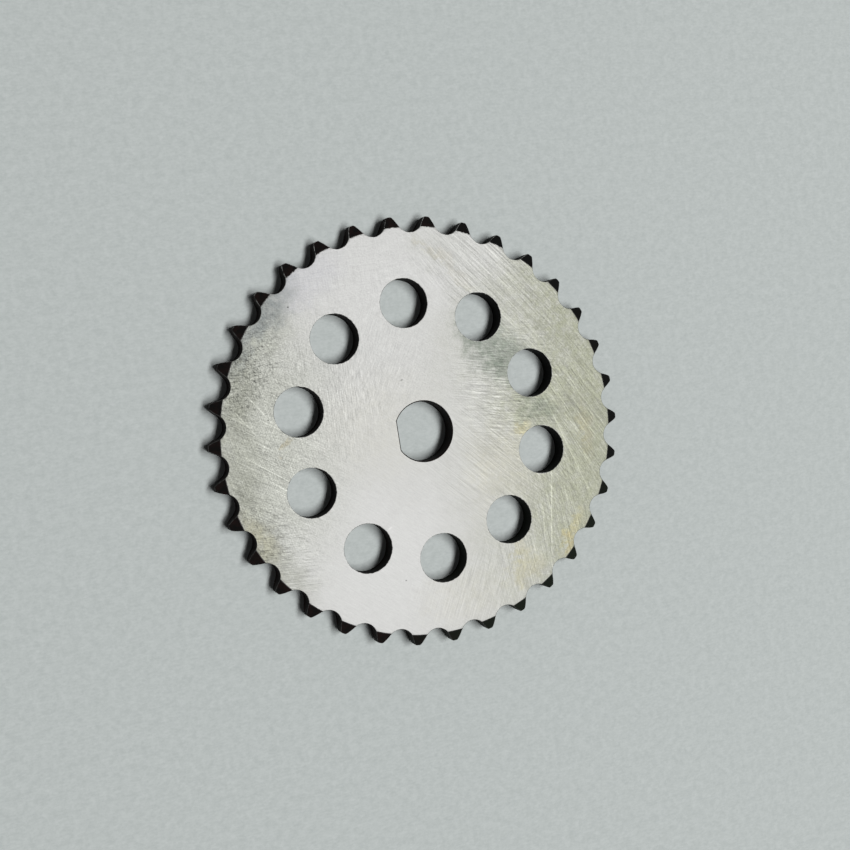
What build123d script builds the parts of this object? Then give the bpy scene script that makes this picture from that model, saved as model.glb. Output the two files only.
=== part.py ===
"""A plate sprocket for roller chain: one flat steel wheel with a toothed rim.

Millimetres. The origin is on the bore's axis, at the face that the wheel lies on, and +Z
runs along the bore. A tooth and a lightening hole are both centred on +Y, and the flat in
the bore is on its -X side.
"""

from build123d import *
import math
import os

# The chain that the wheel runs with
chain_pitch = 12.7
roller_diameter = 8.51

# The wheel
tooth_count = 34
plate_thickness = 7.2
tip_radius = 70.0

# One tooth gap: a round seat for the roller, and a flank on each side of it
seat_radius = 0.505 * roller_diameter
seat_half_angle = 64.0
flank_radius = 15.0
tip_rounding = 0.8

# The bevel that thins the teeth, so that the chain's side plates slide down over them
bevel_start_radius = 66.35
bevel_depth = 1.7

# The web
bore_radius = 9.75
flat_distance = 8.5
hole_count = 10
hole_radius = 8.0
hole_circle_radius = 42.0
edge_break = 0.25

# The pitch circle runs through the pins of a chain that is wrapped round the wheel
pitch_radius = chain_pitch / 2 / math.sin(math.pi / tooth_count)
root_radius = pitch_radius - roller_diameter / 2
seat_centre = root_radius + seat_radius

# A flank leaves the seat without a corner, so the centre of its arc lies on the line from
# the seat's centre through the seat's end. It runs out past the tip circle
flank_reach = seat_radius + flank_radius
flank_centre_x = seat_centre - flank_reach * math.cos(math.radians(seat_half_angle))
flank_centre_y = flank_reach * math.sin(math.radians(seat_half_angle))
flank_overrun = 0.3
flank_end_x = tip_radius + flank_overrun
flank_end_angle = -math.degrees(math.acos((flank_end_x - flank_centre_x) / flank_radius))
first_gap_angle = 90 + 180 / tooth_count

with BuildPart() as sprocket:
    # The turned blank: a disc with its rim bevelled from both faces
    with BuildSketch(Plane.XZ):
        with BuildLine():
            Polyline(
                (0, 0),
                (bevel_start_radius, 0),
                (tip_radius, bevel_depth),
                (tip_radius, plate_thickness - bevel_depth),
                (bevel_start_radius, plate_thickness),
                (0, plate_thickness),
                close=True,
            )
        make_face()
    revolve(axis=Axis.Z)

    # One tooth gap, drawn on +X, then cut all round the rim
    with BuildSketch(mode=Mode.PRIVATE) as gap:
        with BuildLine():
            seat = CenterArc(
                center=(seat_centre, 0),
                radius=seat_radius,
                start_angle=180 - seat_half_angle,
                arc_size=2 * seat_half_angle,
            )
            left_flank = CenterArc(
                center=(flank_centre_x, flank_centre_y),
                radius=flank_radius,
                start_angle=-seat_half_angle,
                arc_size=flank_end_angle + seat_half_angle,
            )
            right_flank = mirror(left_flank, about=Plane.XZ)
            Line(left_flank @ 1, (flank_end_x, -(left_flank @ 1).Y))
        make_face()
    with BuildSketch():
        with PolarLocations(0, tooth_count, start_angle=first_gap_angle):
            add(gap.sketch)
    extrude(amount=plate_thickness, mode=Mode.SUBTRACT)

    # The corners of the tips, rounded where the flanks meet the tip circle
    upright_edges = sprocket.edges().filter_by(GeomType.LINE).filter_by(Axis.Z)
    tip_edges = upright_edges.sort_by_distance((0, 0, plate_thickness / 2))[-2 * tooth_count :]
    fillet(tip_edges, radius=tip_rounding)

    # The lightening holes
    with PolarLocations(hole_circle_radius, hole_count, start_angle=90):
        Hole(radius=hole_radius)

    # The bore, round but for its flat
    with BuildSketch():
        Circle(bore_radius)
        with Locations((-flat_distance, 0)):
            Rectangle(
                bore_radius,
                2 * bore_radius,
                align=(Align.MAX, Align.CENTER),
                mode=Mode.SUBTRACT,
            )
    extrude(amount=plate_thickness, mode=Mode.SUBTRACT)

    # The sharp edges of the bore and the holes, broken on both faces
    for face in sprocket.faces().filter_by(Axis.Z):
        chamfer(face.inner_wires().edges(), length=edge_break)

sprocket.part.label = "sprocket"

os.makedirs("parts", exist_ok=True)
export_step(sprocket.part, "parts/sprocket.step")

print("pitch radius", round(pitch_radius, 3), "root radius", round(root_radius, 3))
print("volume", round(sprocket.part.volume), "mm3, faces", len(sprocket.part.faces()))
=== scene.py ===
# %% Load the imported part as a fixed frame
import math

import bmesh
import bpy
from mathutils import Matrix, Vector, geometry


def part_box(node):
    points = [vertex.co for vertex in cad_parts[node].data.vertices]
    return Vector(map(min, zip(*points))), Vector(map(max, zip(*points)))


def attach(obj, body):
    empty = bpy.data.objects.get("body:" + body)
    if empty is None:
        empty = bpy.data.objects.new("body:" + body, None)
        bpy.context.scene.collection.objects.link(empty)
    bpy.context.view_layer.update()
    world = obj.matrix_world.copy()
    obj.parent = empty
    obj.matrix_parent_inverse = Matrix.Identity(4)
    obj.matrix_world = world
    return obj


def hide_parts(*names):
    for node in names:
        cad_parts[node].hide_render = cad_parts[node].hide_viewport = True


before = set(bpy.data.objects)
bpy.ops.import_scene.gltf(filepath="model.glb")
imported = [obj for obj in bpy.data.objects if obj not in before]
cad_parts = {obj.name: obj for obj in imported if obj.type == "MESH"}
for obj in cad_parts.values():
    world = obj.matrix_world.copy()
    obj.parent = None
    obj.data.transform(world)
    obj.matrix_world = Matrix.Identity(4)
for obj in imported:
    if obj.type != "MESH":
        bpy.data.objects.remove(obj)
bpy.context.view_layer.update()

MM = 0.001

# %% [markdown]
# ## What the real thing is
# A plate sprocket is one flat steel wheel. Blanks are sawn or laser cut, the two faces are ground
# on a surface grinder, and a hob then cuts the gaps that the chain's rollers sit in. The sides of
# the teeth are turned to a cone, so that a chain that comes on a little askew slides into place.
# Everything that was never ground keeps the thin black skin of hot rolling and hardening, and the
# sharp corners between the two finishes wear bright. Those three finishes, and the rounding of
# every corner, are what this scene adds to the plain solid.

# %% Sizes of the wheel, from the solid and from the chain it is cut for
box_low, box_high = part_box("sprocket")
thickness = box_high.z - box_low.z
tip_radius = (box_high.y - box_low.y) / 2
tooth_count = 34
chain_pitch = 12.7 * MM
roller_diameter = 8.51 * MM
half_pitch_angle = math.pi / tooth_count
pitch_radius = chain_pitch / 2 / math.sin(half_pitch_angle)
root_radius = pitch_radius - roller_diameter / 2
print("pitch radius", round(pitch_radius / MM, 3), "mm, root radius", round(root_radius / MM, 3), "mm")

# %% [markdown]
# ## The camera
# The wheel lies flat, and the camera stands above its left side and looks down a little to the
# right. Setting the turns of the camera as three angles is the plainest way to write a view that
# is already known; a tracking constraint would need an extra target object.

# %% Camera
camera = bpy.data.objects.new("camera", bpy.data.cameras.new("camera"))
bpy.context.scene.collection.objects.link(camera)
camera_turns = (-0.784, -18.499, -9.434)
camera.data.sensor_width = 36
camera.data.lens = 55.11
camera.location = (-0.13076, 0.02964, 0.40831)
camera.rotation_euler = [math.radians(turn) for turn in camera_turns]
bpy.context.scene.camera = camera
print("camera height", round(camera.location.z, 3), "m")

# %% [markdown]
# ## One tooth gap as a line
# The outline repeats 34 times, and each repeat is its own mirror image, so only half a gap is
# drawn: from the lowest point of the roller seat to the middle of the next tooth. It is made of
# true arcs that run into one another: the seat that holds a roller, the bulged flank that guides
# it in, the rounded corner and the tip. Spinning a single vertex about an arc's centre draws that
# arc, and the end of one arc starts the next. A list of typed points would not stay smooth, and a
# boolean cut would leave a mesh that is hard to bevel.

# %% Draw half a gap
seat_over_roller = 0.505
seat_radius = seat_over_roller * roller_diameter
seat_half_angle = math.radians(64)
flank_radius = 15 * MM
tip_rounding = 0.8 * MM
shoulder_radius = 66.35 * MM

seat_centre = Vector((root_radius + seat_radius, 0))
flank_reach = seat_radius + flank_radius
away_from_seat = Vector((-math.cos(seat_half_angle), math.sin(seat_half_angle)))
flank_centre = seat_centre + flank_reach * away_from_seat
corner_centre = max(
    geometry.intersect_sphere_sphere_2d(
        flank_centre, flank_radius - tip_rounding, Vector((0, 0)), tip_radius - tip_rounding
    ),
    key=lambda point: point.x,
)
corner_start = math.atan2(*reversed(corner_centre - flank_centre))
corner_end = math.atan2(*reversed(corner_centre))
shoulder_cosine = (seat_centre.x**2 + seat_radius**2 - shoulder_radius**2) / (
    2 * seat_centre.x * seat_radius
)
shoulder_turn = math.acos(shoulder_cosine)


def draw_arc(bm, start, centre, turn, steps):
    """Spins a vertex about a centre and gives the arc's last vertex."""
    arc = bmesh.ops.spin(
        bm, geom=[start], cent=(centre.x, centre.y, 0), axis=(0, 0, 1), angle=turn, steps=steps
    )
    return arc["geom_last"][0]


def draw_half_gap(bm):
    """The line from the bottom of a gap on +X to the middle of the next tooth.

    The line across the root of that tooth, its shoulder, branches off it."""
    origin = Vector((0, 0))
    bottom = bmesh.ops.create_vert(bm, co=(root_radius, 0, 0))["vert"][0]
    shoulder = draw_arc(bm, bottom, seat_centre, -shoulder_turn, steps=11)
    shoulder_angle = math.atan2(shoulder.co.y, shoulder.co.x)
    draw_arc(bm, shoulder, origin, half_pitch_angle - shoulder_angle, steps=5)
    seat_end = draw_arc(bm, shoulder, seat_centre, shoulder_turn - seat_half_angle, steps=3)
    flank_end = draw_arc(bm, seat_end, flank_centre, corner_start + seat_half_angle, steps=6)
    corner = draw_arc(bm, flank_end, corner_centre, corner_end - corner_start, steps=6)
    draw_arc(bm, corner, origin, half_pitch_angle - corner_end, steps=2)


wheel = bmesh.new()
draw_half_gap(wheel)
reach = max(v.co.length for v in wheel.verts)
print("half a gap:", len(wheel.verts), "vertices, reach", round(reach / MM, 3))

# %% [markdown]
# ## The whole outline
# A copy of the half gap, turned over across the middle of the tooth, makes a whole tooth, and
# spinning copies of that round the bore closes the ring. The line across the root of each tooth
# parts the flat face of the wheel from the cone at the tooth's side, and that side is filled first,
# while it is still one small closed loop.

# %% Make one tooth, fill its side and copy it round
MERGE = 0.001 * MM
across_tooth = (
    Matrix.Rotation(half_pitch_angle, 4, "Z")
    @ Matrix.Scale(-1, 4, (0, 1, 0))
    @ Matrix.Rotation(-half_pitch_angle, 4, "Z")
)
other_half = bmesh.ops.duplicate(wheel, geom=wheel.verts[:] + wheel.edges[:])["geom"]
other_verts = [v for v in other_half if isinstance(v, bmesh.types.BMVert)]
bmesh.ops.transform(wheel, verts=other_verts, matrix=across_tooth)
bmesh.ops.remove_doubles(wheel, verts=wheel.verts, dist=MERGE)
side_edges = [e for e in wheel.edges if min(v.co.length for v in e.verts) > shoulder_radius - MERGE]
bmesh.ops.contextual_create(wheel, geom=side_edges)
bmesh.ops.spin(
    wheel,
    geom=wheel.verts[:] + wheel.edges[:] + wheel.faces[:],
    axis=(0, 0, 1),
    angle=2 * math.pi - 2 * half_pitch_angle,
    steps=tooth_count - 1,
    use_duplicate=True,
)
bmesh.ops.remove_doubles(wheel, verts=wheel.verts, dist=MERGE)
first_tooth_turn = math.pi / 2 - half_pitch_angle
bmesh.ops.rotate(wheel, verts=wheel.verts, matrix=Matrix.Rotation(first_tooth_turn, 3, "Z"))
print("outline:", len(wheel.edges), "edges,", len(wheel.faces), "tooth sides")

# %% [markdown]
# ## Holes and web
# Ten round holes take weight out of the web, and the bore has one flat that stops the wheel
# turning on its shaft. They are drawn as loops inside the outline, and a triangle fill covers what
# lies between, which is the one fill that leaves holes open.

# %% Draw the holes and the bore, and fill the web
hole_count = 10
hole_radius = 8 * MM
hole_circle_radius = 42 * MM
bore_radius = 9.75 * MM
flat_distance = 8.5 * MM
hole_steps = 96

for number in range(hole_count):
    turn = math.pi / 2 + 2 * math.pi * number / hole_count
    centre = (hole_circle_radius * math.cos(turn), hole_circle_radius * math.sin(turn), 0)
    place = Matrix.Translation(centre)
    bmesh.ops.create_circle(wheel, segments=hole_steps, radius=hole_radius, matrix=place)

flat_half_angle = math.acos(flat_distance / bore_radius)
flat_end = Vector((-flat_distance, -bore_radius * math.sin(flat_half_angle), 0))
bore_start = bmesh.ops.create_vert(wheel, co=flat_end)["vert"][0]
bore_turn = 2 * (math.pi - flat_half_angle)
bore_end = draw_arc(wheel, bore_start, Vector((0, 0)), bore_turn, hole_steps)
bmesh.ops.contextual_create(wheel, geom=[bore_start, bore_end])

web_edges = [
    e for e in wheel.edges if max(v.co.length for v in e.verts) < shoulder_radius + MERGE
]
bmesh.ops.triangle_fill(wheel, edges=web_edges, use_beauty=True, normal=(0, 0, 1))
loose_edges = [e for e in wheel.edges if e.is_wire]
print("web filled:", len(wheel.faces), "faces,", len(loose_edges), "loose edges")

# %% [markdown]
# ## Thickness and cones
# Extruding the filled outline gives the plate. Past the shoulder both faces then fall away in a
# straight line with the radius, which makes the cones at the sides of the teeth.

# %% Extrude the plate and slope the sides of the teeth
bevel_depth = 1.7 * MM
slope = bevel_depth / (tip_radius - shoulder_radius)

raised = bmesh.ops.extrude_face_region(wheel, geom=wheel.faces[:])
top = [v for v in raised["geom"] if isinstance(v, bmesh.types.BMVert)]
bmesh.ops.translate(wheel, verts=top, vec=(0, 0, thickness))
for vertex in wheel.verts:
    drop = max(0, math.hypot(vertex.co.x, vertex.co.y) - shoulder_radius) * slope
    vertex.co.z += -drop if vertex.co.z > thickness / 2 else drop
bmesh.ops.recalc_face_normals(wheel, faces=wheel.faces)
print("plate volume:", round(wheel.calc_volume() / MM**3), "cubic mm")

# %% [markdown]
# ## Finishes and worn corners
# Ground steel, black skin and worn corners meet on the wheel. Each face gets the number of its
# finish before the corners are rounded, because the bevel's own faces then take the worn one. The
# corners of the rim and of the ten holes are only rubbed down by handling. The bore keeps a wider
# break, which was cut to let the shaft in and has stayed dark.

# %% Number the finishes and round the corners
GROUND, SKIN, WORN, BREAK = range(4)
rim_wear = 0.13 * MM
hole_wear = 0.15 * MM
bore_break = 0.35 * MM
sharp_angle = math.radians(15)
level_normal = 0.99

for face in wheel.faces:
    face.material_index = GROUND if abs(face.normal.z) > level_normal else SKIN
    face.smooth = True


def sharp_edges(inner, outer):
    """Edges between two radii whose faces meet at a corner."""
    return [
        e
        for e in wheel.edges
        if inner < min(math.hypot(v.co.x, v.co.y) for v in e.verts) < outer
        and e.calc_face_angle(0) > sharp_angle
    ]


def round_corners(edges, width, finish, steps=2):
    """Bevels these edges and gives the new faces a finish."""
    made = bmesh.ops.bevel(
        wheel, geom=edges, offset=width, offset_type="OFFSET", segments=steps,
        profile=0.5, affect="EDGES", clamp_overlap=True, material=-1,
    )
    for face in made["faces"]:
        face.material_index = finish
        face.smooth = True
    return len(made["faces"])


web_reach = hole_circle_radius + hole_radius + MM
bore_reach = bore_radius + MM
rim_edges = sharp_edges(web_reach, 2 * tip_radius)
print("rim corners:", round_corners(rim_edges, rim_wear, WORN), "faces")
print("hole corners:", round_corners(sharp_edges(bore_reach, web_reach), hole_wear, WORN), "faces")
print("bore corners:", round_corners(sharp_edges(0, bore_reach), bore_break, BREAK), "faces")
print("open edges:", len([e for e in wheel.edges if not e.is_manifold]))

# %% [markdown]
# ## Shading
# A rounded corner beside a large flat face smears its light over the flat unless the flat's own
# direction wins. The weighted normal modifier makes the larger face win at every corner.

# %% Put the wheel in the scene
mesh = bpy.data.meshes.new("sprocket_wheel")
wheel.to_mesh(mesh)
wheel.free()
sprocket = bpy.data.objects.new("sprocket_wheel", mesh)
bpy.context.scene.collection.objects.link(sprocket)
sprocket.modifiers.new("even_shading", "WEIGHTED_NORMAL")
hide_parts("sprocket")
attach(sprocket, "root")
triangles = sum(len(p.vertices) - 2 for p in mesh.polygons)
print("wheel:", len(mesh.polygons), "faces,", triangles, "triangles")

# %% [markdown]
# ## A short way to write materials
# A material is a net of nodes. Two small classes let it be written as arithmetic: one stands for
# a socket and adds a Math node for each operation on it, and the other adds any other node, with
# its settings first and its sockets after. A pattern is moved, turned and stretched by a Mapping
# node. Behind it a spherical gradient gives a soft ellipse, and noise gives straight hairs.

# %% Arithmetic on sockets
class Value:
    """A socket of a material that can be used in ordinary arithmetic."""

    def __init__(self, finish, socket):
        self.finish = finish
        self.socket = socket

    def math(self, operation, first, second):
        """Adds a Math node on two sockets or numbers."""
        return self.finish.add("ShaderNodeMath", {"operation": operation}, {0: first, 1: second})

    def __add__(self, other):
        return self.math("ADD", self, other)

    def __sub__(self, other):
        return self.math("SUBTRACT", self, other)

    def __mul__(self, other):
        return self.math("MULTIPLY", self, other)

    def __rsub__(self, other):
        return self.math("SUBTRACT", other, self)

    __radd__ = __add__
    __rmul__ = __mul__


# %% Nodes and patterns of a finish
# A pattern reaches this many mm across the thickness, so it runs straight through the plate.
THROUGH = 1000
HAIR_ROUGHNESS = 0.6
# How far past its threshold the noise has to be before a line has its full strength.
LINE_EDGE = 0.07


class Finish:
    """A material in the making, and the few nodes that its patterns are built from."""

    def __init__(self, name):
        self.material = bpy.data.materials.new(name)
        self.material.use_nodes = True
        self.tree = self.material.node_tree
        self.shader = self.tree.nodes["Principled BSDF"]
        metres = self.add("ShaderNodeTexCoord", {}, {}, "Object")
        to_mm = {0: metres, "Scale": 1 / MM}
        self.place = self.add("ShaderNodeVectorMath", {"operation": "SCALE"}, to_mm)

    def add(self, kind, settings, inputs, output=0):
        """Adds a node, sets it up, fills its sockets and gives one of its outputs."""
        node = self.tree.nodes.new(kind)
        for name, value in settings.items():
            setattr(node, name, value)
        for key, value in inputs.items():
            self.feed(node.inputs[key], value)
        return Value(self, node.outputs[output])

    def feed(self, socket, value):
        """Links a value to a socket, or writes a plain number or colour on it."""
        if isinstance(value, Value):
            self.tree.links.new(value.socket, socket)
        else:
            socket.default_value = value

    def noise(self, where, scale, detail=2, roughness=0.5, output=0):
        """Cloudy noise of about 0.5 on average, with scale as its blotches per mm."""
        sockets = {"Vector": where, "Scale": scale, "Detail": detail, "Roughness": roughness}
        return self.add("ShaderNodeTexNoise", {}, sockets, output)

    def step(self, value, low, high):
        """0 below low, 1 above high, and a smooth rise between."""
        sockets = {"Value": value, "From Min": low, "From Max": high}
        return self.add("ShaderNodeMapRange", {"interpolation_type": "SMOOTHSTEP"}, sockets)

    def mix(self, first, second, share):
        """The first colour with that share of the second. Sockets 6, 7 and 2 are the colours."""
        return self.add("ShaderNodeMix", {"data_type": "RGBA"}, {0: share, 6: first, 7: second}, 2)

    def vector(self, operation, first, second, output=0):
        """Arithmetic on two places or two colours."""
        sockets = {0: first, 1: second}
        return self.add("ShaderNodeVectorMath", {"operation": operation}, sockets, output)

    def split(self, where):
        """The x and the y of a place, in mm."""
        outputs = self.add("ShaderNodeSeparateXYZ", {}, {0: where}).socket.node.outputs
        return Value(self, outputs["X"]), Value(self, outputs["Y"])

    def polar(self, centre):
        """Distance from a point in mm and the direction to it in radians."""
        spread = self.vector("SUBTRACT", self.place, (*centre, 0))
        x, y = self.split(spread)
        distance = self.vector("LENGTH", spread, (0, 0, 0), "Value")
        return distance, y.math("ARCTAN2", y, x)

    def patch(self, centre, reach, turn=0, soft=0.6, where=None):
        """1 inside an ellipse of these reaches in mm, falling to 0 outside it."""
        sockets = {
            "Vector": where or self.place,
            "Location": (*centre, 0),
            "Rotation": (0, 0, math.radians(turn)),
            "Scale": (reach[0] * (1 + soft), reach[1] * (1 + soft), THROUGH),
        }
        local = self.add("ShaderNodeMapping", {"vector_type": "TEXTURE"}, sockets)
        depth = self.add("ShaderNodeTexGradient", {"gradient_type": "SPHERICAL"}, {0: local}, 1)
        return self.step(depth, 0, 2 * soft / (1 + soft))

    def hairs(self, turn, length, spacing, seed, detail=2):
        """Fine straight marks at an angle: noise that is stretched along them."""
        sockets = {
            "Vector": self.place,
            "Location": (seed, -seed, 0),
            "Rotation": (0, 0, math.radians(turn)),
            "Scale": (length, spacing, THROUGH),
        }
        local = self.add("ShaderNodeMapping", {"vector_type": "TEXTURE"}, sockets)
        return self.noise(local, 1, detail, HAIR_ROUGHNESS)

    def lines(self, noise, rarity=0.62):
        """Thin lines where the noise is far from its average: 1 for bright and -1 for dark ones."""
        full = rarity + LINE_EDGE
        return self.step(noise, rarity, full) - self.step(1 - noise, rarity, full)

    def rub(self, area, turn, length, spacing, haze, cut):
        """One bout of rubbing over an area: a haze of fine hairs and a few deeper cuts.

        The cuts lie two degrees off the hairs, and are longer and finer."""
        hairs = self.hairs(turn, length, spacing, turn + length) - 0.5
        deeper = self.hairs(turn + 2, 1.5 * length, 0.8 * spacing, turn - length, 0)
        cuts = self.lines(deeper)
        return (hairs * haze + cuts * cut) * area


# %% [markdown]
# ## Ground steel
# The faces were ground flat and then rubbed by hand with abrasive, so they are bare steel under
# crossing hair scratches. Each bout of rubbing left its own direction in its own part of the
# face: wide swings in arcs at the upper right, short dark hairs beside the bore, near upright ones
# at the lower right and a cross hatch at the left. Soft ellipses say where each direction rules.
# Pushing their places aside with noise makes their borders ragged, as rubbing by hand does, while
# the hairs themselves stay on the unbent place, so that they stay straight.

# %% Start the ground steel and say where things are on it
steel = Finish("ground_steel")


def shift(noise, amount):
    """The place, pushed aside by noise, so that soft areas get ragged borders."""
    centred = steel.vector("SUBTRACT", noise, (0.5, 0.5, 0.5))
    push = steel.vector("MULTIPLY", centred, (amount, amount, 0))
    return steel.vector("ADD", steel.place, push)


wide_push = 26
near_push = 14
wide_noise = steel.noise(steel.place, 0.07, 3, 0.6, "Color")
bent = shift(wide_noise, wide_push)
near_noise = steel.noise(steel.place, 0.25, 4, 0.7, "Color")
wander = shift(near_noise, near_push)
bent_x, bent_y = steel.split(bent)
wander_x = steel.split(wander)[0]


def area(centre, reach, turn=0):
    """A soft ellipse with a ragged border."""
    return steel.patch(centre, reach, turn, where=wander)


print("ground steel so far:", len(steel.tree.nodes), "nodes")

# %% [markdown]
# ### Wide swings
# An arm that swings from the elbow leaves arcs about one far centre. Distance and direction from
# that centre are the two coordinates of the noise, so its hairs bend with the arc, which a plain
# Mapping node can't do. Three layers of them differ in length, and the last is a few long cuts.

# %% Swings in arcs at the upper right
swing_centre = (-277, -213)
swing_radius = 400
swing_border = (381, 391)
swing_distance, swing_angle = steel.polar(swing_centre)


def swing(length, spacing, seed, detail):
    """Hairs that follow arcs about the far centre."""
    along = swing_angle * (swing_radius / length)
    across = swing_distance * (1 / spacing)
    sockets = {"X": along, "Y": across, "Z": seed}
    place = steel.add("ShaderNodeCombineXYZ", {}, sockets)
    return steel.noise(place, 1, detail, HAIR_ROUGHNESS)


outer_right = steel.step(swing_distance, *swing_border) * steel.step(wander_x, 6, 26)
outer_right = outer_right * (1 - area((60, 12), (12, 24)) * 0.25)
swings = (
    (swing(9, 0.4, 0, 2) - 0.5) * 0.7
    + (swing(40, 0.8, 7, 2) - 0.5) * 0.45
    + steel.lines(swing(50, 0.4, 3, 0), 0.7) * 0.16
)
print("with the swings:", len(steel.tree.nodes), "nodes")

# %% [markdown]
# ### Hatched places
# The rim at the left was rubbed in several directions, one over the other. On top of that, two
# places near it carry short dark hairs, which are thresholds on three families of hairs, broken
# up by a finer noise.

# %% The hatched left side and its dark hairs
left = area((-62, 6), (30, 42))
hatched = area((-54, 30), (18, 8), 62) + area((-58, -23), (12, 6), -67) * 0.6
dark_hairs = (
    steel.step(steel.hairs(-3, 6, 0.42, 5, 0), 0.55, 0.62)
    + steel.step(steel.hairs(-60, 5, 0.42, 9, 0), 0.57, 0.64) * 0.8
    + steel.step(steel.hairs(84, 4, 0.42, 13, 0), 0.58, 0.65) * 0.8
)
dark_hairs = dark_hairs * steel.step(steel.noise(steel.place, 0.9, 2, 0.6), 0.3, 0.65)
right = steel.step(bent_x, 10, 50)
upper = steel.step(bent_y, -10, 20)
print("with the hatch:", len(steel.tree.nodes), "nodes")

# %% [markdown]
# ### Bouts of rubbing
# Each bout is one row of a table: where it was done, in which direction, how long and how close
# its hairs are, how strong its haze is and how deep its few cuts are. A row adds the same few
# nodes, so a loop over the rows is all that the pattern needs. Directions are in degrees and
# lengths in mm.

# %% Tables of the bouts: centre, reach and turn of the area, then the rubbing
right_bouts = (
    ((32, 11), (16, 20), 0, -15, 5, 0.4, 0.95, 0.15),
    ((30, -16), (25, 22), -45, -47, 13, 0.4, 0.55, 0.08),
    ((40, -42), (20, 26), -20, -86, 8, 0.4, 0.6, 0.09),
    ((50, -8), (14, 26), -10, -66, 9, 0.42, 0.6, 0.12),
)
left_bouts = (
    (-38, 9, 0.42, 0.3, 0.1),
    (-78, 6, 0.38, 0.3, 0.08),
    (-20, 5, 0.32, 0.2, 0.08),
    (55, 5, 0.32, 0.2, 0.06),
)
other_bouts = (
    ((-58, -34), (14, 16), 20, -8, 5, 0.34, 0.4, 0.18),
    ((-28, 18), (15, 22), 0, 88, 4, 0.38, 0.5, 0.08),
    ((-12, 26), (16, 18), 0, 60, 4, 0.38, 0.3, 0.05),
    ((-17, 54), (24, 13), 0, 0, 6, 0.4, 0.22, 0.02),
    ((-17, 54), (24, 13), 0, 90, 6, 0.4, 0.22, 0.02),
    ((16, 53), (12, 10), -50, -60, 8, 0.4, 0.4, 0.08),
    ((12, -54), (20, 13), 0, 63, 7, 0.4, 0.4, 0.05),
)
print("bouts of rubbing:", len(right_bouts) + len(left_bouts) + 1 + len(other_bouts))

# %% Add up the marks of all bouts
def rub_areas(marks, bouts):
    """The marks with one more bout of rubbing for each row."""
    for centre, reach, turn, *rubbing in bouts:
        marks = marks + steel.rub(area(centre, reach, turn), *rubbing)
    return marks


marks = rub_areas(swings * outer_right, right_bouts)
for rubbing in left_bouts:
    marks = marks + steel.rub(left, *rubbing)
marks = marks + steel.rub(hatched, 10, 2.4, 0.42, 0.4, 0.1)
marks = marks - dark_hairs * hatched * 0.3
marks = rub_areas(marks, other_bouts)
print("with the bouts:", len(steel.tree.nodes), "nodes")

# %% [markdown]
# ### Grain, long cuts and pits
# Under the rubbing the whole face has a faint grain, which is rougher at the sides. A few single
# cuts and pits are large enough to be seen one by one. A very narrow ellipse is a cut, and a tiny
# one with a strength below zero is a dark pit.

# %% Grain, single cuts and pits
marks = marks + (steel.hairs(-42, 4, 0.4, 25) - 0.5) * 0.18
fine_grain = steel.noise(steel.place, 2.2, 3, 0.7) - 0.5
marks = marks + fine_grain * (0.2 + left * 0.55 + right * 0.3 + upper * 0.2)
coarse_grain = steel.noise(steel.place, 1.1, 3, 0.7) - 0.5
marks = marks + coarse_grain * (right * 0.35 + left * 0.2)

# Each row: centre, reach, turn and strength.
single_cuts = (
    ((40, -35.5), (15, 0.2), 81, 0.24),
    ((36.8, -38), (6, 0.18), 84, 0.16),
    ((50, -14.5), (19, 0.2), -72, 0.2),
    ((-16.5, -29), (0.8, 0.2), 30, 0.15),
    ((-53, 17), (7, 0.17), -57, 0.2),
    ((-58.7, 14.3), (7.5, 0.17), -57, 0.22),
    ((-60, 14.8), (4, 0.15), -57, 0.15),
    ((-52.5, 25.7), (3.7, 0.15), 11, 0.15),
    ((-53, -3), (8, 0.15), -38, 0.2),
    ((-50, -9), (6, 0.15), -41, 0.16),
    ((-46, 8), (5, 0.15), -36, 0.14),
    ((-4.8, 17.6), (0.4, 0.2), 20, -0.4),
    ((-13.9, -46.7), (0.25, 0.2), 0, -0.5),
    ((-38, 46), (0.3, 0.22), 0, -0.6),
    ((-50, 12), (0.25, 0.2), 0, -0.5),
)
for centre, reach, turn, strength in single_cuts:
    marks = marks + steel.patch(centre, reach, turn) * strength
print("single cuts and pits:", len(single_cuts))

# %% [markdown]
# ### Stains, painted shade and painted highlight
# Bare steel under old oil and damp takes a straw tint and then brown, and heat or acid leaves blue
# grey. The right side is straw, the rim at the upper left is blue grey, and thin streaks of rust
# lie along the scratches. The straw that darkens the right and lower right is partly painted shade,
# where the lamp's reflection falls off, and paler ellipses at the lower left and the top are painted
# highlight. Each stain is one row that is laid over the rows before it, so a small
# clear stain comes after a large one that covers the same place.

# %% Colours of the steel
bright = (0.34, 0.34, 0.33, 1)
# Painted highlight: a paler steel for where the lamp's reflection is brightest.
painted_highlight = (0.36, 0.36, 0.352, 1)
straw_and_shade = (0.215, 0.222, 0.165, 1)
worn_grey = (0.25, 0.258, 0.222, 1)
blue_grey = (0.12, 0.135, 0.14, 1)
deep_green = (0.11, 0.13, 0.105, 1)
olive = (0.145, 0.15, 0.115, 1)
yellow = (0.30, 0.275, 0.155, 1)
rust = (0.24, 0.205, 0.115, 1)
warm = (0.33, 0.327, 0.30, 1)
lavender = (0.31, 0.31, 0.325, 1)
print("colours: bright steel is", bright[:3])

# %% Lay the ground colour
mottle = steel.step(steel.noise(steel.place, 0.5, 4, 0.7), 0.3, 0.7)
# Straw and darker towards the right: partly a straw tint, partly painted shade as the lamp fades.
colour = steel.mix(bright, straw_and_shade, steel.step(bent_x, -6, 66) * (0.6 + mottle * 0.5))
# Painted highlight: paler ellipses at the lower left and the top, where the lamp's reflection peaks.
colour = steel.mix(colour, painted_highlight, steel.patch((-26, -40), (28, 22), -20, where=bent))
colour = steel.mix(colour, painted_highlight, steel.patch((0, 60), (36, 22), 0, where=bent))
colour = steel.mix(colour, worn_grey, left * 0.7)
print("with the ground colour:", len(steel.tree.nodes), "nodes")
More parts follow.
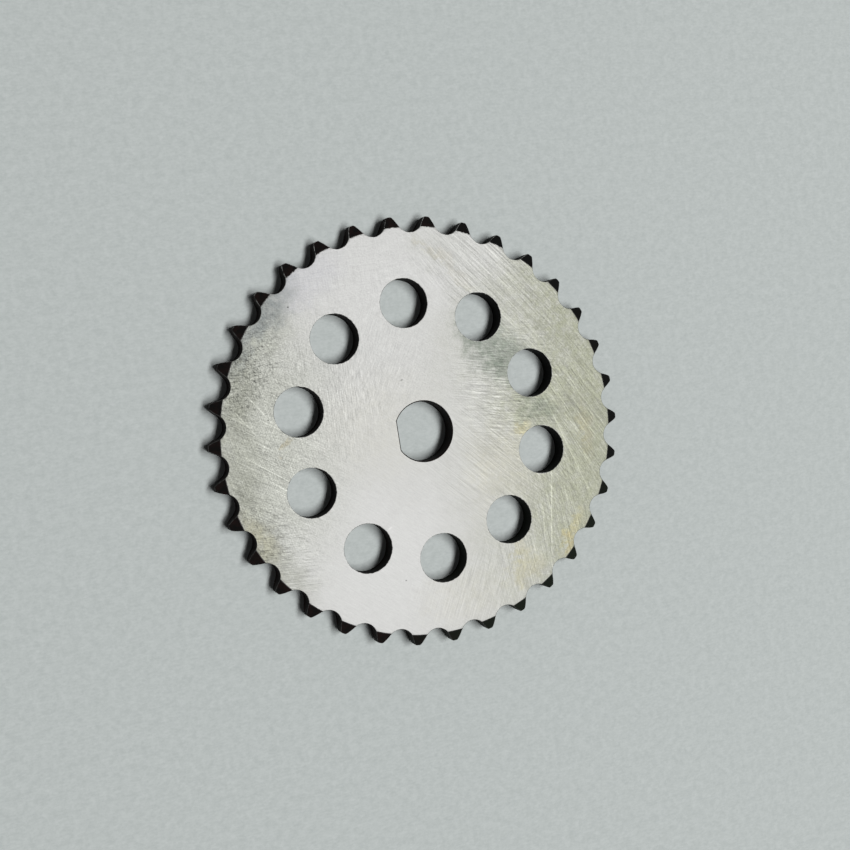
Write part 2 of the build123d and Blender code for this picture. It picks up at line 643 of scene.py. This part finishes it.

# %% Stain it and paint shade: colour, centre, reach, turn and share of each stain
stains_and_shade = (
    # Straw rows at the right and lower right are partly painted shade, where the lamp's reflection
    # fades.
    (straw_and_shade, (58, -8), (9, 26), -10, 0.6),
    (straw_and_shade, (41, 3), (10, 9), 0, 0.95),
    (straw_and_shade, (45, -34), (10, 16), 0, 0.4),
    (straw_and_shade, (48, -34), (14, 22), -30, 0.3),
    (warm, (-14, 4), (18, 15), 0, 0.7),
    (lavender, (-33, 53), (14, 7), 30, 0.7),
    (yellow, (34, -5), (3, 2.5), 0, 0.8),
    (warm, (24, -20), (11, 16), -10, 0.6),
    (yellow, (27, -15), (12, 12), 0, 0.12),
    (yellow, (4, -56), (13, 8), 0, 0.12),
    (straw_and_shade, (22, -48), (14, 14), 0, 0.1),
    (straw_and_shade, (30, -26), (8, 8), 0, 0.2),
    (deep_green, (29, 23), (14, 7), -47, 0.88),
    (deep_green, (41, 1.5), (6, 3), -20, 0.5),
    (yellow, (47, -43), (7, 2.5), 60, 0.7),
    (rust, (45.5, -46), (4, 1.5), 60, 0.5),
    (yellow, (28, -52), (7, 4), 30, 0.4),
    (yellow, (27, -45), (2, 5), 0, 0.4),
    (rust, (57, -9), (2, 8), 0, 0.3),
    (rust, (12, 57), (7, 1.2), -48, 0.25),
    (rust, (17, 54), (8, 1.2), -46, 0.2),
    (rust, (21, 46), (6, 1), -50, 0.15),
    (worn_grey, (15, 57), (10, 7), -30, 0.35),
    (worn_grey, (28, 41), (10, 8), -50, 0.16),
    (rust, (-46, 3), (2, 1.2), 40, 0.5),
    (worn_grey, (-48, 41), (12, 8), 54, 0.9),
    (blue_grey, (-44, 47.5), (10, 6), 44, 0.8),
    (blue_grey, (-53, 38), (7, 3), 56, 0.6),
    (blue_grey, (-57, 31), (4, 2), 62, 0.5),
    (olive, (-58, 22), (12, 5), 70, 0.6),
    (olive, (-60, 2), (14, 6), 88, 0.5),
    (olive, (-60, -18), (14, 5), -72, 0.5),
    (yellow, (-59, -25), (9, 4), -66, 0.35),
    (olive, (-53, -36), (12, 5), -54, 0.5),
    (olive, (-46, 22), (8, 6), 0, 0.15),
    (deep_green, (27, 17), (9, 5), -20, 0.15),
    (deep_green, (42, -1), (7, 5), 0, 0.15),
    (olive, (-30, 28), (10, 9), 0, 0.08),
)
for layer_colour, centre, reach, turn, share in stains_and_shade:
    where_laid = area(centre, reach, turn) * (0.5 + mottle * 0.5)
    colour = steel.mix(colour, layer_colour, where_laid * share)
print("stains:", len(stains_and_shade))

# %% [markdown]
# ### From marks to metal
# One pattern of marks does three jobs: it lightens or darkens the colour, makes the bright cuts
# smoother, and lifts them very slightly in the bump. The steel is only half metallic, because a
# film of oxide and oil dulls its mirror.

# %% Connect the ground steel
steel_roughness = 0.58
steel_metallic = 0.5
bump_strength = 0.2
bump_height = 0.01 * MM

shade = 1 + marks
tone = steel.add("ShaderNodeCombineXYZ", {}, {"X": shade, "Y": shade, "Z": shade})
marked = steel.vector("MULTIPLY", colour, tone)
steel.feed(steel.shader.inputs["Base Color"], marked)
steel.feed(steel.shader.inputs["Roughness"], steel_roughness - marks * 0.2)
steel.shader.inputs["Metallic"].default_value = steel_metallic
bump = {"Strength": bump_strength, "Distance": bump_height, "Height": marks}
steel.feed(steel.shader.inputs["Normal"], steel.add("ShaderNodeBump", {}, bump))
print("ground steel:", len(steel.tree.nodes), "nodes")

# %% [markdown]
# ## Black skin and worn corners
# The teeth and the walls of the holes kept the dull black skin of the hot rolled plate, which
# gives back almost no light. It is nearly black, and turns a little brown at the left and green at
# the lower right. The rounded corners of the rim and the holes are rubbed bright in places and
# still dark in others. The wider corners of the bore are dark too, but a shade lighter than skin.

# %% Make the black skin
SCALE_TINTS = ((0.8, 0.8, 0.75), (1.8, 1.1, 1), (1.5, 1.9, 1.35))
skin_depth = 0.006
bore_corner_depth = 0.01


def black_skin(name, depth):
    """Dull scale, a little browner at the left and greener at the lower right."""
    skin = Finish(name)
    black, brown, green = [(*(depth * part for part in tint), 1) for tint in SCALE_TINTS]
    x, y = skin.split(skin.place)
    cloud = skin.step(skin.noise(skin.place, 0.5, 3, 0.6), 0.35, 0.7)
    at_left = 1 - skin.step(x, 0, 40)
    colour = skin.mix(black, brown, cloud * at_left)
    at_right = skin.step(x, -30, 20)
    low_down = 1 - skin.step(y, -50, -10)
    colour = skin.mix(colour, green, at_right * low_down)
    skin.feed(skin.shader.inputs["Base Color"], colour)
    skin.shader.inputs["Roughness"].default_value = 0.6
    skin.shader.inputs["Specular IOR Level"].default_value = 0.03
    return skin.material


# %% Make the worn corners
def worn_corner():
    """Bright steel where the skin is rubbed through, less of it on the rim below the top."""
    corner = Finish("worn_corner")
    dark = (0.012, 0.01, 0.01, 1)
    bare = (0.4, 0.4, 0.385, 1)
    rubbed = corner.step(corner.noise(corner.place, 0.9, 3, 0.6), 0.36, 0.6)
    y = corner.split(corner.place)[1]
    radius = corner.polar((0, 0))[0]
    spared = corner.step(radius, 52, 60) * (1 - corner.step(y, 35, 60))
    rubbed = rubbed * (1 - spared * 0.85)
    corner.feed(corner.shader.inputs["Base Color"], corner.mix(dark, bare, rubbed))
    corner.feed(corner.shader.inputs["Metallic"], rubbed * 0.5)
    corner.shader.inputs["Roughness"].default_value = 0.45
    corner.shader.inputs["Specular IOR Level"].default_value = 0.1
    return corner.material


# %% Give the wheel its finishes, in the order of their numbers
mesh.materials.append(steel.material)
mesh.materials.append(black_skin("black_skin", skin_depth))
mesh.materials.append(worn_corner())
mesh.materials.append(black_skin("bore_corner", bore_corner_depth))
print("finishes:", [m.name for m in mesh.materials])

# %% [markdown]
# ## Floor and light
# The wheel lies on pale card under one long, soft strip lamp that hangs high on the right, so each
# tooth drops a short shadow to its left. The room itself gives only a little fill light, which
# keeps those shadows dark, but the camera and mirror reflections see it as a plain pale colour,
# because bare metal takes its brightness from what it mirrors. The Light Path node tells the two
# kinds of ray apart.

# %% Lay the floor
floor_size = 3
bpy.ops.mesh.primitive_plane_add(size=floor_size)
floor = bpy.context.object
floor.name = "floor"
card = Finish("card")
card_dark = (0.44, 0.475, 0.465, 1)
card_pale = (0.53, 0.565, 0.555, 1)
fibre = card.noise(card.place, 0.35, 4, 0.8) * 0.6 + card.hairs(0, 1.6, 0.7, 1, 3) * 0.4
card_colour = card.mix(card_dark, card_pale, card.step(fibre, 0.3, 0.7))
card.feed(card.shader.inputs["Base Color"], card_colour)
card.shader.inputs["Roughness"].default_value = 0.9
card.shader.inputs["Specular IOR Level"].default_value = 0.1
floor.data.materials.append(card.material)
print("floor:", floor_size, "m of", card.material.name)

# %% Light the room
world = bpy.data.worlds.new("room")
bpy.context.scene.world = world
world.use_nodes = True
room = world.node_tree
rays = room.nodes.new("ShaderNodeLightPath")
background = room.nodes["Background"]
fill_strength = 0.05
seen_strength = 0.6
seen = rays.outputs["Is Camera Ray"]
for other in ("Is Glossy Ray", "Is Transmission Ray"):
    either = room.nodes.new("ShaderNodeMath")
    either.operation = "MAXIMUM"
    room.links.new(seen, either.inputs[0])
    room.links.new(rays.outputs[other], either.inputs[1])
    seen = either.outputs[0]
strength = room.nodes.new("ShaderNodeMapRange")
strength.inputs["To Min"].default_value = fill_strength
strength.inputs["To Max"].default_value = seen_strength
room.links.new(seen, strength.inputs["Value"])
room.links.new(strength.outputs[0], background.inputs["Strength"])
background.inputs["Color"].default_value = (1, 1, 1, 1)
print("room: fill", fill_strength, "and seen as", seen_strength)

# %% Hang the lamp
lamp = bpy.data.objects.new("lamp", bpy.data.lights.new("lamp", "AREA"))
bpy.context.scene.collection.objects.link(lamp)
lamp.data.shape = "RECTANGLE"
lamp.data.size = 2.8
lamp.data.size_y = 0.8
lamp.data.energy = 165
lamp.location = (1.05, -0.42, 3.8)
lamp.rotation_euler = (Vector((0, 0, 0)) - lamp.location).to_track_quat("-Z", "Y").to_euler()
bpy.context.scene.view_settings.view_transform = "Standard"
print("lamp:", lamp.data.energy, "W at", round(lamp.location.length, 2), "m")
